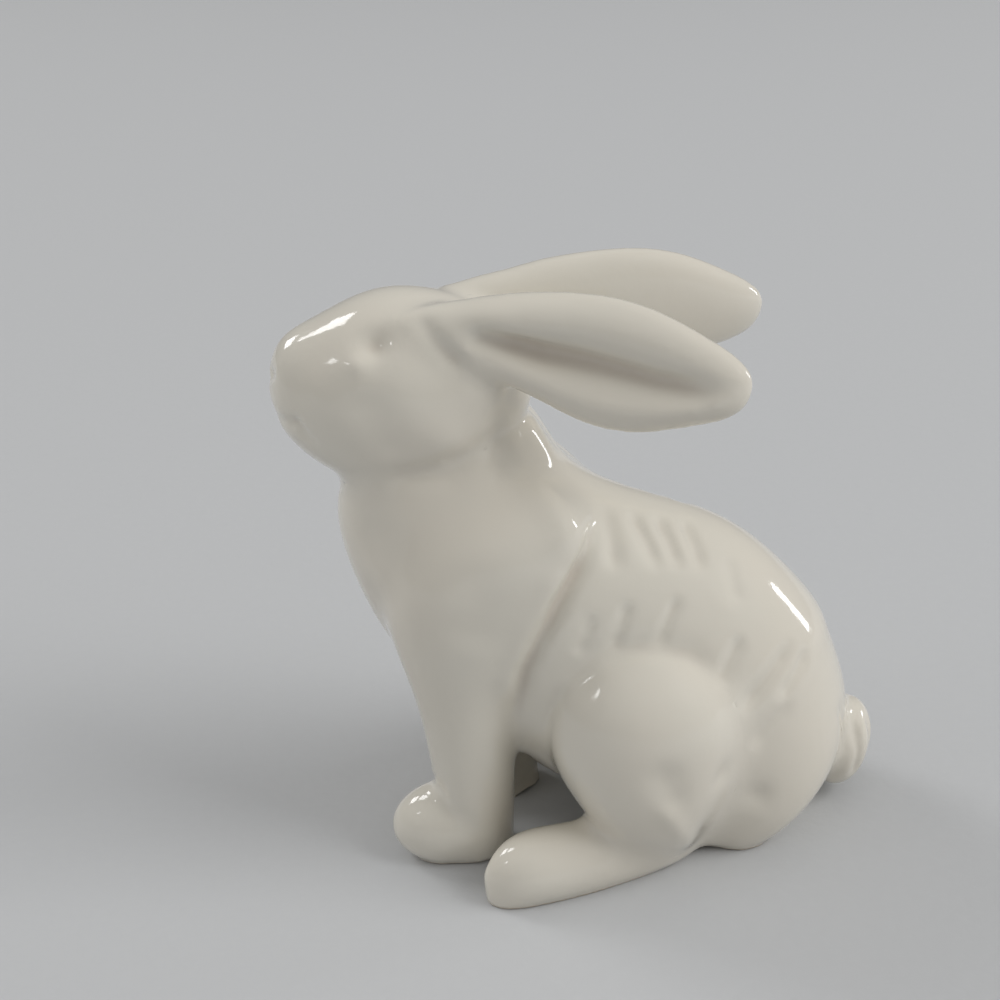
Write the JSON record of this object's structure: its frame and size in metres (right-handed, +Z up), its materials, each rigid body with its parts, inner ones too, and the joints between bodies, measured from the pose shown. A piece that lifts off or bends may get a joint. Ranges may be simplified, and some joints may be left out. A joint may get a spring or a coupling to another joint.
{
  "type": "ceramic rabbit figurine",
  "caption": "Small sitting rabbit figurine in glossy white glazed ceramic, head raised and long ears laid back.",
  "frame": {"origin": "middle of the footprint, on the ground under the paws, hind feet and rump", "axes": "+Z up, the nose points to -X, the rabbit's left side to -Y"},
  "size_m": [0.0492, 0.0294, 0.0499],
  "materials": {
    "glaze": "gloss",
    "slip": "matte"
  },
  "bodies": {
    "root": {"head_shell": "glaze", "left_ankle_slip": "slip", "left_ear": "glaze", "left_ear_slip": "slip", "left_foreleg": "glaze", "left_haunch": "glaze", "left_heel_slip": "slip", "left_hind_foot": "glaze", "left_hip_slip": "slip", "left_shoulder_slip": "slip", "neck_slip": "slip", "right_ankle_slip": "slip", "right_ear": "glaze", "right_ear_slip": "slip", "right_foreleg": "glaze", "right_haunch": "glaze", "right_heel_slip": "slip", "right_hind_foot": "glaze", "right_hip_slip": "slip", "right_shoulder_slip": "slip", "tail": "glaze", "tail_slip": "slip", "torso_shell": "glaze"}
  },
  "joints": []
}
